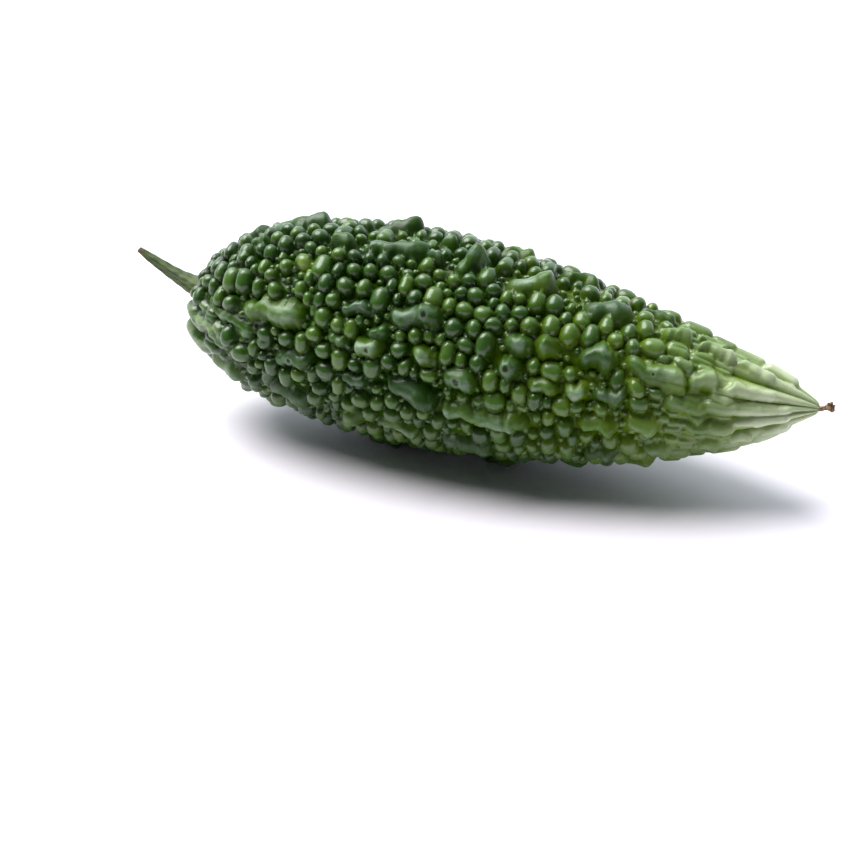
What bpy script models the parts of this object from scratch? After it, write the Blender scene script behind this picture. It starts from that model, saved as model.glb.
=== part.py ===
# A whole bitter gourd lying on its belly: the warty fruit, its stalk and the dry rest of its flower.
# The fruit runs along X, stalk end at -X and tip at +X. The side towards -Y is the one looked at.
# On the skin, a station is millimetres along the fruit from the stalk end, and an angle is degrees
# round it: 0 is the top, 90 faces -Y, 180 is the underside.

import math
import random

import bmesh
import bpy
import numpy as np

MM = 0.001
SEED = 11

# Fruit, in millimetres. Its bare radius is FULLNESS * t ** STALK_ROUND * (1 - t) ** TIP_TAPER.
FRUIT_LENGTH = 200.0
FULLNESS = 70.6
STALK_ROUND = 0.5
TIP_TAPER = 0.83
TIP_CUT = 0.995
TIP_CAP = 0.004
LYING_TILT = math.radians(1.5)
BELLY_SAG = 2.6
STALK_LIFT = 1.5
STALK_LIFT_REACH = 9.0
STALK_DIMPLE = 3.4
STALK_DIMPLE_RADIUS = 9.0
STALK_SLANT = 0.26
STALK_SLANT_REACH = 15.0
SEAT_RADIUS = 2.5
STALK_SEAT = (3.5, 10.0)

# Net of the skin: a fine net is raised first, then thinned to few faces.
NET_RINGS = 430
NET_SEGMENTS = 300
SKIN_TRIANGLES = 11800
BODY_SHARPNESS = 6.0
END_SHARPNESS = 2.4
CREST_SHARPNESS = 3.0

# Ribs: one under each row of crests, strongest at both ends, where the crests run together.
ROW_ANGLES = (-20, 11, 49, 73, 98, 127, 158, 193, 229, 264, 301)
RIB_HEIGHT = 0.7
RIB_HEIGHT_TIP = 1.9
RIB_HEIGHT_STALK = 1.9
RIB_STALK_REACH = (3.0, 8.0, 32.0, 56.0)

# Crests on the rows that are looked at: (start, length, angle, turn, width, low end, high end).
# A crest climbs from its low end by the stalk to its high end by the tip.
CRESTS = (
    # along the skyline
    (12, 10, -8, -2, 7.0, 3.6, 4.4),
    (25, 17, -11, -3, 8.0, 3.8, 6.0),
    (58, 13, -11, -8, 6.5, 2.6, 6.4),
    (80, 5, -7, 0, 4.6, 4.0, 4.6),
    (98, 9, -17, -5, 5.6, 4.0, 4.8),
    (118, 10, -12, -5, 6.0, 3.6, 4.6),
    (143, 10, -6, -6, 5.6, 3.4, 3.8),
    (161, 8, -6, -4, 4.6, 2.4, 2.6),
    # above the middle
    (21, 6, 12, 0, 4.6, 2.6, 3.2),
    (49, 7, 13, 0, 6.4, 4.6, 4.6),
    (60, 18, 12, -3, 7.2, 3.4, 5.2),
    (79, 5, 11, 0, 4.4, 4.4, 4.6),
    (88, 8, 13, -9, 8.4, 2.6, 7.4),
    (105, 13, 14, -5, 8.4, 2.8, 6.2),
    (129, 11, 14, -3, 8.2, 3.6, 5.4),
    (151, 8, 15, -5, 6.0, 3.6, 4.0),
    (162, 10, 12, -4, 5.4, 2.6, 2.8),
    (174, 10, 9, 2, 4.4, 1.4, 1.2),
    # the middle
    (60, 8, 54, -2, 4.6, 3.6, 3.8),
    (75, 13, 53, -4, 8.0, 3.0, 6.2),
    (109, 7, 53, 0, 6.8, 3.4, 4.8),
    (119, 4, 51, 0, 8.0, 5.4, 5.6),
    (131, 9, 51, -2, 8.4, 4.6, 5.6),
    (145, 15, 51, 4, 6.8, 3.8, 4.6),
    (162, 7, 52, -3, 5.6, 2.8, 3.2),
    (174, 12, 49, 3, 5.2, 1.6, 1.0),
    # below the middle
    (12, 18, 69, 15, 4.6, 1.6, 2.6),
    (27, 19, 65, -1, 8.0, 3.4, 4.6),
    (57, 6, 72, 0, 4.6, 3.4, 3.6),
    (66, 7, 73, -1, 6.6, 4.0, 4.6),
    (69, 6, 64, 0, 4.8, 3.8, 4.2),
    (84, 5, 71, 0, 6.4, 4.2, 4.6),
    (94, 8, 79, 1, 7.4, 4.4, 5.2),
    (109, 5, 68, 0, 7.2, 4.8, 5.0),
    (118, 8, 75, 1, 5.4, 3.6, 4.2),
    (129, 5, 75, 0, 5.8, 4.2, 4.4),
    (137, 8, 75, -1, 5.8, 3.8, 4.4),
    (157, 11, 74, 6, 5.6, 2.8, 3.0),
    (168, 7, 57, 2, 5.0, 2.2, 2.2),
    # low on the side
    (9, 15, 89, 13, 4.2, 1.4, 2.2),
    (39, 12, 92, -3, 6.6, 3.4, 4.4),
    (62, 8, 93, -1, 4.8, 3.6, 3.8),
    (77, 13, 89, 6, 8.0, 4.0, 5.6),
    (94, 23, 99, 2, 7.2, 3.4, 5.6),
    (134, 9, 97, 1, 6.4, 4.2, 4.8),
    (147, 8, 93, 4, 7.2, 4.0, 4.2),
    (163, 13, 97, 7, 5.4, 2.4, 2.4),
    # under the tip
    (135, 8, 126, 2, 6.0, 3.8, 4.4),
    (152, 7, 122, 6, 6.2, 3.4, 3.8),
    (166, 6, 124, 6, 5.0, 2.2, 2.4),
    (175, 6, 120, 6, 4.2, 1.4, 1.4),
)

# The four broad crests that the fruit lies on: (start, length, angle, turn, width, ends).
RESTING_CRESTS = (
    (63, 11, 165, 0, 8.4, 5.6, 5.8),
    (64, 11, 195, 0, 8.4, 5.6, 5.8),
    (99, 11, 166, 0, 8.4, 6.7, 6.4),
    (98, 11, 194, 0, 8.4, 6.0, 5.8),
)
FLAT_DEPTH = 1.0

# Crests are knobbly: a low ridge and a chain of knobs that run together. Shares of the crest's width
# and height.
CREST_INSET = 0.30
RIDGE_WIDTHS = (0.40, 0.58)
RIDGE_SHARE = 0.84
RIDGE_DOME = 0.9
KNOB_STEP = 0.70
KNOB_SIZE = (0.42, 0.56)
KNOB_HEIGHT = (0.70, 0.92)
KNOB_DOME = 0.7

# Rows out of sight get crests by rule: stations, length, gap and width, in millimetres.
RULED_ROWS = (127, 158, 193, 229, 264, 301)
RULED_START = 12.0
RULED_END = 184.0
RULED_LENGTH = (6.0, 15.0)
RULED_GAP = (3.0, 8.0)
RULED_WIDTH = (5.6, 8.0)
RULED_HEIGHT = (3.6, 4.8)
RULED_CLEAR = 3.0

# Beads fill what the crests leave: least, most and commonest radius, in millimetres. They are thrown
# at random and then push each other apart. At the ends they are long, and run together into ropes.
BEAD_COUNT = 820
BEAD_SIZE = (1.35, 3.4, 2.7)
BEAD_STRETCH = (-0.45, 0.35)
BEAD_START = 3.0
BEAD_END = 186.0
BEAD_NEAR = 1.0
CREST_NEAR = 0.70
PUSH_ROUNDS = 60
PUSH_STEP = 0.5
CROWDED = 0.82
LEAST_BEAD = 1.0
BEAD_TALL = 1.5
TALLEST_BEAD = 4.0
BEAD_DOMES = (0.6, 1.15)
LONG_AT_TIP = 1.5
LONG_AT_STALK = 1.2

# Stalk
STALK_REACH = 22.8
STALK_RISE = (0.26, 0.70)
STALK_RADII = ((0.0, 4.2), (0.06, 3.6), (0.15, 3.05), (0.35, 2.35), (0.6, 1.85), (0.85, 1.35), (1.0, 0.8))
STALK_RIBS = 5
STALK_RIB_DEPTH = 0.10
STALK_RINGS = 16
STALK_SEGMENTS = 20
PIECE_GAP = 0.3
STALK_GAP = 0.75

# Dry flower
FLOWER_LENGTH = 3.4
FLOWER_RADII = ((0.0, 0.75), (0.3, 0.6), (0.55, 0.85), (0.8, 1.35), (1.0, 1.0))
FLOWER_LOBES = 5
FLOWER_CURL = 1.7
FLOWER_RINGS = 7
FLOWER_SEGMENTS = 15


def clear_scene():
    for obj in list(bpy.data.objects):
        bpy.data.objects.remove(obj, do_unlink=True)


def plain_material(name, colour, roughness):
    material = bpy.data.materials.new(name)
    material.use_nodes = True
    shader = material.node_tree.nodes["Principled BSDF"]
    shader.inputs["Base Color"].default_value = (*colour, 1.0)
    shader.inputs["Roughness"].default_value = roughness
    shader.inputs["Metallic"].default_value = 0.0
    return material


def smooth_step(low, high, value):
    share = np.clip((value - low) / (high - low), 0.0, 1.0)
    return share * share * (3.0 - 2.0 * share)


def bare_radius(t):
    """The fruit's radius without its warts, at a share t of its length."""
    body = FULLNESS * t**STALK_ROUND * (1.0 - t) ** TIP_TAPER
    into_cap = np.clip((t - (TIP_CUT - TIP_CAP)) / TIP_CAP, 0.0, 1.0)
    return body * np.sqrt(1.0 - into_cap**2)


def fruit_profile(count):
    """Stations, radii and distances along the skin, at evenly spaced steps along the skin."""
    dense = TIP_CUT * (1.0 - np.cos(np.linspace(0.0, math.pi, 6000))) / 2.0
    stations, radii = dense * FRUIT_LENGTH, bare_radius(dense)
    steps = np.hypot(np.diff(stations), np.diff(radii))
    along = np.concatenate([[0.0], np.cumsum(steps)])
    even = np.linspace(0.0, along[-1], count)
    return np.interp(even, along, stations), np.interp(even, along, radii), even


def wrapped(angle):
    return (angle + math.pi) % (2.0 * math.pi) - math.pi


def wart_scale(station):
    """Warts are lower by the stalk, and fade into the ribs by the tip."""
    t = station / FRUIT_LENGTH
    return float(0.6 + 0.4 * smooth_step(0.01, 0.14, t)) * float(1.0 - 0.62 * smooth_step(0.70, 0.92, t))


def below_middle(angle):
    return smooth_step(-0.45, 0.1, -np.cos(angle))


def at_ends(station, angle):
    """How far beads run together, up to 1 at the tip and low on the stalk's shoulder, and how many times
    longer than wide they are."""
    t = station / FRUIT_LENGTH
    by_tip = smooth_step(0.70, 0.92, t)
    by_stalk = (1.0 - smooth_step(0.02, 0.14, t)) * below_middle(angle)
    return np.maximum(by_tip, by_stalk), 1.0 + LONG_AT_TIP * by_tip + LONG_AT_STALK * by_stalk


class Net:
    """The skin's fine net: rings along the fruit, segments round it."""

    def __init__(self, rings, segments):
        self.station, self.radius, self.along = fruit_profile(rings + 1)
        self.angle = np.arange(segments) * 2.0 * math.pi / segments
        self.segments = segments
        self.beads = np.zeros((rings + 1, segments))
        self.crests = np.zeros((rings + 1, segments))
        ends = at_ends(self.station[:, None], self.angle[None, :])[0]
        self.sharpness = BODY_SHARPNESS + (END_SHARPNESS - BODY_SHARPNESS) * ends

    def along_at(self, station):
        return float(np.interp(station, self.station, self.along))

    def radius_at(self, station):
        return float(np.interp(station, self.station, self.radius))

    def dome(self, line, widths, heights, bend):
        """The height of a dome along a line on the skin, and the rings that it covers."""
        start, start_angle, end, end_angle = line
        first, last = self.along_at(start), self.along_at(end)
        reach = max(widths) * 1.1
        low, high = np.searchsorted(self.along, (min(first, last) - reach, max(first, last) + reach))
        local = self.radius[low:high, None]
        down = self.along[low:high, None] - first
        round_it = wrapped(self.angle[None, :] - start_angle) * local
        run = last - first
        turn = wrapped(end_angle - start_angle) * self.radius_at((start + end) / 2.0)
        length_squared = max(run * run + turn * turn, 1e-9)
        share = np.clip((down * run + round_it * turn) / length_squared, 0.0, 1.0)
        off = np.hypot(down - share * run, round_it - share * turn)
        half_width = widths[0] + (widths[1] - widths[0]) * share
        height = heights[0] + (heights[1] - heights[0]) * share
        return height * np.clip(1.0 - (off / half_width) ** 2, 0.0, 1.0) ** bend, slice(low, high)

    def stack_bead(self, bead):
        station, angle, size, stretch = bead
        ends, longer = at_ends(station, angle)
        reach = size * (max(stretch, 0.0) * (1.0 - ends) + 2.0 * (longer - 1.0))
        across = size * max(-stretch, 0.0) * (1.0 - ends) / self.radius_at(station)
        line = (station - reach / 2.0, angle - across, station + reach / 2.0, angle + across)
        tall = min(BEAD_TALL * size, TALLEST_BEAD) * (0.35 + 0.65 * wart_scale(station)) * (1.0 - 0.3 * ends)
        wide = size * (1.0 + 0.2 * ends)
        bend = BEAD_DOMES[0] + (BEAD_DOMES[1] - BEAD_DOMES[0]) * ends
        height, rows = self.dome(line, (wide, wide), (tall, tall), bend)
        self.beads[rows] += height ** self.sharpness[rows]

    def stack_crest(self, source, crest):
        """Adds a crest: a ridge, and a chain of knobs that grow with it."""
        start, length, angle, turn, width, low, high = crest
        inset = min(width * CREST_INSET, length * 0.4)
        first, last = start + inset, start + length - inset
        first_angle, last_angle = math.radians(angle), math.radians(angle + turn)
        widths = (width * RIDGE_WIDTHS[0], width * RIDGE_WIDTHS[1])
        heights = (low * RIDGE_SHARE, high * RIDGE_SHARE)
        height, rows = self.dome((first, first_angle, last, last_angle), widths, heights, RIDGE_DOME)
        self.crests[rows] += height**CREST_SHARPNESS
        knobs = 1 + max(1, round((last - first) / (width * KNOB_STEP)))
        for i in range(knobs):
            share = i / (knobs - 1)
            size = width * source.uniform(*KNOB_SIZE) * (0.88 + 0.12 * share)
            tall = (low + (high - low) * share) * source.uniform(*KNOB_HEIGHT)
            sway = source.uniform(-0.12, 0.12) * width / self.radius_at(start)
            station = first + (last - first) * share
            turned = first_angle + (last_angle - first_angle) * share + sway
            height, rows = self.dome((station, turned, station, turned), (size, size), (tall, tall), KNOB_DOME)
            self.crests[rows] += height**CREST_SHARPNESS

    def relief(self):
        """The beads' and the crests' heights as one."""
        beads = self.beads ** (1.0 / self.sharpness)
        crests = self.crests ** (1.0 / CREST_SHARPNESS)
        return (beads**BODY_SHARPNESS + crests**BODY_SHARPNESS) ** (1.0 / BODY_SHARPNESS)


def rib_relief(net):
    """Rounded ribs with sharp grooves between them, one rib under each row of crests."""
    rows = np.radians(np.array(ROW_ANGLES, float))
    knots = np.concatenate([rows, [rows[0] + 2.0 * math.pi]])
    t = net.station[:, None] / FRUIT_LENGTH
    sway = np.radians(4.0) * np.sin(9.0 * t + 1.0)
    angle = (net.angle[None, :] + sway - rows[0]) % (2.0 * math.pi) + rows[0]
    phase = np.interp(angle, knots, np.arange(len(knots)))
    rounded = np.abs(np.cos(math.pi * phase)) ** 0.7
    by_tip = smooth_step(0.70, 0.90, t) * (1.0 - 0.75 * smooth_step(0.90, 1.0, t))
    along = net.along[:, None]
    by_stalk = smooth_step(*RIB_STALK_REACH[:2], along) * (1.0 - smooth_step(*RIB_STALK_REACH[2:], along))
    by_stalk = by_stalk * (0.4 + 0.6 * below_middle(net.angle)[None, :])
    height = RIB_HEIGHT * smooth_step(0.03, 0.15, t) * (1.0 - smooth_step(0.75, 0.9, t))
    return rounded * (height + RIB_HEIGHT_TIP * by_tip + RIB_HEIGHT_STALK * by_stalk)


def unevenness(net):
    """Slow swells, so that the fruit isn't a turned shape."""
    t = net.station[:, None] / FRUIT_LENGTH
    angle = net.angle[None, :]
    swell = 0.5 * np.sin(2 * angle + 7.0 * t) + 0.4 * np.sin(3 * angle - 11.0 * t + 2.0)
    return swell * smooth_step(0.03, 0.2, t) * (1.0 - smooth_step(0.75, 0.97, t))


def ruled_crests(source, placed, net):
    """Crests on the rows out of sight, kept clear of those already placed."""
    made = []
    lines = crest_lines(net, placed)
    for row in RULED_ROWS:
        station = RULED_START + source.uniform(0.0, 8.0)
        while station < RULED_END:
            scale = wart_scale(station)
            length = source.uniform(*RULED_LENGTH)
            width = source.uniform(*RULED_WIDTH) * (0.55 + 0.45 * scale)
            high = source.uniform(*RULED_HEIGHT) * scale
            low = high * source.uniform(0.55, 0.9)
            angle = row + source.uniform(-4.0, 4.0)
            crest = (station, length, angle, source.uniform(-4.0, 4.0), width, low, high)
            if crest_gap(net, crest, lines) > RULED_CLEAR:
                made.append(crest)
            station += length + width * 0.6 + source.uniform(*RULED_GAP)
    return made


def crest_gap(net, crest, lines):
    """The narrowest gap between a crest's outline and the others, from points along its top line."""
    gaps = []
    for share in (0.0, 0.5, 1.0):
        station = crest[0] + crest[1] * share
        angle = math.radians(crest[2] + crest[3] * share)
        radius = net.radius_at(station)
        gaps.append(away_from_crests(lines, net.along_at(station), angle, radius)[0].min())
    return min(gaps) - crest[4] / 2.0


def crest_lines(net, crests):
    """The crests as columns: along, angle, run along, turn, half width."""
    start, length, angle, turn, width = np.array([crest[:5] for crest in crests], float).T
    along = np.interp(start, net.station, net.along)
    run = np.interp(start + length, net.station, net.along) - along
    return along, np.radians(angle), run, np.radians(turn), width / 2.0


def away_from_crests(lines, along, angle, radius):
    """The gap from a point of the skin to each crest's foot, and the way from it."""
    first, first_angle, run, turn, half_width = lines
    down, round_it, bend = along - first, wrapped(angle - first_angle) * radius, turn * radius
    share = np.clip((down * run + round_it * bend) / (run * run + bend * bend), 0.0, 1.0)
    down, round_it = down - share * run, round_it - share * bend
    off = np.hypot(down, round_it) + 1e-6
    return off - half_width, down / off, round_it / off


def thrown_beads(source, net):
    """Beads at random, closer together where they are small: along, angle, radius and stretch."""
    first, last = net.along_at(BEAD_START), net.along_at(BEAD_END)
    most = net.radius.max() * 2.2
    beads = []
    while len(beads) < BEAD_COUNT:
        along, angle = source.uniform(first, last), source.uniform(-math.pi, math.pi)
        station = float(np.interp(along, net.along, net.station))
        scale = 0.62 + 0.38 * min(1.0, wart_scale(station) * 1.15)
        size = source.triangular(*BEAD_SIZE) * scale
        longer = at_ends(station, angle)[1]
        if source.random() * most < net.radius_at(station) / (scale * scale * longer):
            beads.append((along, angle, size, source.uniform(*BEAD_STRETCH)))
    return np.array(beads).T


def pushed_apart(beads, crests, net):
    """Lets the beads push each other and keep off the crests, then drops what is still crowded.
    Returns (station, angle, radius, stretch) of each bead."""
    along, angle, size, stretch = beads
    lines = crest_lines(net, crests)
    first, last = net.along_at(BEAD_START), net.along_at(BEAD_END)
    for _ in range(PUSH_ROUNDS):
        station = np.interp(along, net.along, net.station)
        local, longer = np.interp(along, net.along, net.radius), at_ends(station, angle)[1]
        down = (along[:, None] - along[None, :]) / longer[:, None]
        round_it = wrapped(angle[:, None] - angle[None, :]) * local[:, None]
        gap = np.hypot(down, round_it) + 1e-6
        press = np.clip((size[:, None] + size[None, :]) * BEAD_NEAR - gap, 0.0, None) / gap * 0.5
        move_down, move_round = (press * down).sum(axis=1) * longer, (press * round_it).sum(axis=1)
        edge, out_down, out_round = away_from_crests(lines, along[:, None], angle[:, None], local[:, None])
        press = np.clip(size[:, None] * CREST_NEAR - edge, 0.0, None)
        move_down = move_down + (press * out_down).sum(axis=1)
        move_round = move_round + (press * out_round).sum(axis=1)
        along = np.clip(along + np.clip(move_down, -PUSH_STEP, PUSH_STEP), first, last)
        angle = angle + np.clip(move_round, -PUSH_STEP, PUSH_STEP) / local
    station, local = np.interp(along, net.along, net.station), np.interp(along, net.along, net.radius)
    longer = at_ends(station, angle)[1]
    kept = []
    for i in np.argsort(-size, kind="stable"):
        room = away_from_crests(lines, along[i], angle[i], local[i])[0].min() / (CREST_NEAR * CROWDED)
        if kept:
            gap = np.hypot((along[kept] - along[i]) / longer[i], wrapped(angle[kept] - angle[i]) * local[i])
            room = min(room, (gap / CROWDED - size[kept]).min())
        size[i] = min(size[i], room)
        if size[i] > LEAST_BEAD:
            kept.append(i)
    return [(station[i], angle[i], size[i], stretch[i]) for i in kept]


def raise_skin(net):
    """The height of the skin over the bare fruit, on every point of the net."""
    source = random.Random(SEED)
    crests = list(CRESTS) + list(RESTING_CRESTS)
    crests += ruled_crests(source, crests, net)
    beads = pushed_apart(thrown_beads(source, net), crests, net)
    for crest in crests:
        net.stack_crest(source, crest)
    for bead in beads:
        net.stack_bead(bead)
    print(len(crests), "crests and", len(beads), "beads")
    from_ends = np.minimum(net.along, net.along[-1] - net.along)[:, None]
    seats = smooth_step(0.0, SEAT_RADIUS, from_ends)
    warts = net.relief() * smooth_step(*STALK_SEAT, net.along)[:, None]
    return (warts + rib_relief(net) + unevenness(net)) * seats


def centre_line(station):
    """How far the fruit's middle line stands off a straight one: it sags, and its tip curls up."""
    t = station / FRUIT_LENGTH
    sag = BELLY_SAG * smooth_step(0.05, 0.75, t) * (1.0 - smooth_step(0.86, 1.0, t))
    return STALK_LIFT * np.exp(-station / STALK_LIFT_REACH) - sag


def laid_down(station, height, side):
    """Turns points measured along, above and beside the straight middle line into the lying fruit's frame."""
    beyond = station - FRUIT_LENGTH / 2.0
    x = beyond * math.cos(LYING_TILT) + height * math.sin(LYING_TILT)
    z = height * math.cos(LYING_TILT) - beyond * math.sin(LYING_TILT)
    return np.stack([x, -side, z], axis=-1)


def skin_points(net):
    """Every point of the net in space, rings by segments."""
    slope_x, slope_r = np.gradient(net.station), np.gradient(net.radius)
    length = np.hypot(slope_x, slope_r)
    out_x, out_r = (-slope_r / length)[:, None], (slope_x / length)[:, None]
    relief = raise_skin(net)
    dimple = STALK_DIMPLE * np.exp(-((net.radius / STALK_DIMPLE_RADIUS) ** 2)) * (net.station < 100.0)
    station = (net.station + dimple)[:, None] + relief * out_x
    radius = net.radius[:, None] + relief * out_r
    over = radius * np.cos(net.angle)[None, :]
    height = centre_line(station) + over
    station = station + STALK_SLANT * over * np.exp(-station / STALK_SLANT_REACH)
    side = radius * np.sin(net.angle)[None, :]
    return laid_down(station, height, side)


def net_mesh(name, points):
    """A closed mesh from rings of points, its first and last ring drawn together to a pole."""
    rings, segments = points.shape[:2]
    inner = points[1:-1].reshape(-1, 3)
    poles = [points[0].mean(axis=0), points[-1].mean(axis=0)]
    count = (rings - 2) * segments
    faces = []
    for ring in range(rings - 3):
        for i in range(segments):
            j = (i + 1) % segments
            a, b = ring * segments + i, ring * segments + j
            faces.append((a, a + segments, b + segments, b))
    top = (rings - 3) * segments
    for i in range(segments):
        j = (i + 1) % segments
        faces.append((count, i, j))
        faces.append((count + 1, top + j, top + i))
    mesh = bpy.data.meshes.new(name)
    mesh.from_pydata((np.vstack([inner, poles]) * MM).tolist(), [], faces)
    tidy = bmesh.new()
    tidy.from_mesh(mesh)
    bmesh.ops.recalc_face_normals(tidy, faces=tidy.faces)
    tidy.to_mesh(mesh)
    tidy.free()
    return mesh


def add_object(name, mesh, material):
    obj = bpy.data.objects.new(name, mesh)
    bpy.context.scene.collection.objects.link(obj)
    mesh.materials.append(material)
    mesh.shade_smooth()
    return obj


def thin_out(obj, triangles):
    """Thins the net to few faces, keeping them where the warts need them."""
    obj.data.calc_loop_triangles()
    thin = obj.modifiers.new("thin_out", "DECIMATE")
    thin.ratio = triangles / len(obj.data.loop_triangles)
    thin.use_collapse_triangulate = True
    graph = bpy.context.evaluated_depsgraph_get()
    made = bpy.data.meshes.new_from_object(obj.evaluated_get(graph))
    obj.modifiers.remove(thin)
    obj.data = made


def press_flat(obj, depth):
    """Cuts the lowest warts level, so that the fruit lies on flat spots. Returns the level."""
    shape = bmesh.new()
    shape.from_mesh(obj.data)
    level = min(v.co.z for v in shape.verts) + depth * MM
    everything = shape.verts[:] + shape.edges[:] + shape.faces[:]
    bmesh.ops.bisect_plane(
        shape, geom=everything, plane_co=(0, 0, level), plane_no=(0, 0, -1), clear_outer=True
    )
    rims = [edge for edge in shape.edges if edge.is_boundary]
    bmesh.ops.holes_fill(shape, edges=rims, sides=0)
    bmesh.ops.triangulate(shape, faces=[f for f in shape.faces if len(f.verts) > 3])
    bmesh.ops.recalc_face_normals(shape, faces=shape.faces)
    shape.to_mesh(obj.data)
    shape.free()
    return level


def swept_points(path, radii, segments, wobble):
    """Rings of points round a path, each ring square to it."""
    rings = []
    for i, centre in enumerate(path):
        ahead = path[min(i + 1, len(path) - 1)] - path[max(i - 1, 0)]
        ahead = ahead / np.linalg.norm(ahead)
        side = np.cross(ahead, (0.0, 0.0, 1.0))
        side = side / np.linalg.norm(side)
        over = np.cross(side, ahead)
        turn = np.arange(segments) * 2.0 * math.pi / segments
        reach = radii[i] * wobble(i, turn)
        rings.append(centre + np.outer(reach * np.cos(turn), side) + np.outer(reach * np.sin(turn), over))
    rings.insert(0, np.repeat(path[:1], segments, axis=0))
    rings.append(np.repeat(path[-1:], segments, axis=0))
    return np.array(rings)


def stalk_points():
    """The stalk: flared where it leaves the fruit, ribbed, curving up and thinning to its dry end."""
    share = np.linspace(0.0, 1.0, STALK_RINGS)
    reach = STALK_REACH * share
    climb = STALK_RISE[0] * reach + (STALK_RISE[1] - STALK_RISE[0]) * reach**2 / (2.0 * STALK_REACH)
    start = np.array(STALK_DIMPLE - STALK_GAP)
    seat = laid_down(start, centre_line(start), np.array(0.0))
    path = seat + np.stack([-reach, 0.6 * np.sin(3.0 * share), climb], axis=-1)
    places, sizes = zip(*STALK_RADII)
    radii = np.interp(share, places, sizes)

    def wobble(_, turn):
        return 1.0 + STALK_RIB_DEPTH * np.cos(STALK_RIBS * turn)

    return swept_points(path, radii, STALK_SEGMENTS, wobble)


def flower_points():
    """What is left of the flower on the tip: a dry neck that opens into a few crumpled lobes."""
    share = np.linspace(0.0, 1.0, FLOWER_RINGS)
    tip = np.array(FRUIT_LENGTH * TIP_CUT + PIECE_GAP)
    start = laid_down(tip, centre_line(tip), np.array(0.0))
    path = start + np.stack(
        [FLOWER_LENGTH * share, 0.3 * np.sin(4.0 * share), FLOWER_CURL * share**1.5], axis=-1
    )
    places, sizes = zip(*FLOWER_RADII)
    radii = np.interp(share, places, sizes)

    def wobble(ring, turn):
        open_share = smooth_step(0.4, 1.0, share[ring])
        return 1.0 + 0.35 * open_share * np.cos(FLOWER_LOBES * turn + 1.3 * ring)

    return swept_points(path, radii, FLOWER_SEGMENTS, wobble)


def put_origin_below(objects, level):
    """Moves everything so that the floor is at zero and the origin is under the middle of the box."""
    points = np.vstack([np.array([v.co for v in obj.data.vertices]) for obj in objects])
    middle = (points.min(axis=0) + points.max(axis=0)) / 2.0
    for obj in objects:
        for vertex in obj.data.vertices:
            vertex.co.x -= middle[0]
            vertex.co.y -= middle[1]
            vertex.co.z -= level


def main():
    clear_scene()
    skin = plain_material("gourd_skin", (0.05, 0.14, 0.03), 0.38)
    bark = plain_material("stalk_skin", (0.20, 0.26, 0.09), 0.55)
    dry = plain_material("dry_flower", (0.36, 0.24, 0.12), 0.85)
    fruit = add_object("gourd_body", net_mesh("gourd_body", skin_points(Net(NET_RINGS, NET_SEGMENTS))), skin)
    thin_out(fruit, SKIN_TRIANGLES)
    level = press_flat(fruit, FLAT_DEPTH)
    stalk = add_object("stalk", net_mesh("stalk", stalk_points()), bark)
    flower = add_object("dry_flower", net_mesh("dry_flower", flower_points()), dry)
    put_origin_below([fruit, stalk, flower], level)


main()
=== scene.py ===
import math
import random

import bpy
import numpy as np
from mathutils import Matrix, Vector


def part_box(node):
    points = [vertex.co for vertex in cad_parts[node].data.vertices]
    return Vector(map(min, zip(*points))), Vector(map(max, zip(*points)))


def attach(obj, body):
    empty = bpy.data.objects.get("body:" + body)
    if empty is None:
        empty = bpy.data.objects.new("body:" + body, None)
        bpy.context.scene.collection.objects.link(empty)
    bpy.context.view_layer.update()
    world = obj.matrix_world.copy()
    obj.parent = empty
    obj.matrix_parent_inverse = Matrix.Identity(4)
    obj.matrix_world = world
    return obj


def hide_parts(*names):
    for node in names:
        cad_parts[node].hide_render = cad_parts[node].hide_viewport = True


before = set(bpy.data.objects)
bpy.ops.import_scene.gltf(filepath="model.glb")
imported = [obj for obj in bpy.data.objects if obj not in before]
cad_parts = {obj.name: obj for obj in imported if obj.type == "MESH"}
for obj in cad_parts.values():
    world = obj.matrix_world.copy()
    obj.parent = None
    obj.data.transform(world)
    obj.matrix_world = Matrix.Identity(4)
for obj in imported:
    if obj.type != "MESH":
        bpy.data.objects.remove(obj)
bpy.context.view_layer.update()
bpy.ops.object.select_all(action="DESELECT")
print("frame loaded")

# The fruit lies along X with its stalk at -X. A station is mm along it from the stalk end, an angle is
# degrees round it: 0 on top, 90 towards -Y, 180 underneath.
fruit = {
    "seed": 11,
    "length": 200.0,
    "fullness": 70.6,
    "stalkRound": 0.5,
    "tipTaper": 0.83,
    "tipCut": 0.995,
    "tipCap": 0.004,
    "tilt": math.radians(1.5),
    "sag": 2.6,
    "lift": 1.5,
    "liftReach": 9.0,
    "dimple": 3.4,
    "dimpleRadius": 9.0,
    "slant": 0.26,
    "slantReach": 15.0,
    "seatRadius": 2.5,
    "stalkSeat": (3.5, 10.0),
    "moved": (8.5881, 0.5715, 35.3869),
    "rings": 800,
    "segments": 640,
    "triangles": 197000,
    "sharpness": (6.0, 3.2),  # on the body and at its ends, where the warts run together
    "crestSharpness": 3.0,
    "sway": ((0.50, 11.0), (0.26, 5.5), (0.10, 2.6)),  # how far and over how long warts are bent, in mm
    "beadSway": 0.38,
}

ribs = {
    "rows": (-20, 11, 49, 73, 98, 127, 158, 193, 229, 264, 301),
    "height": 0.7,
    "tipHeight": 1.9,
    "stalkHeight": 1.9,
    "stalkReach": (3.0, 8.0, 32.0, 56.0),
}

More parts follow.
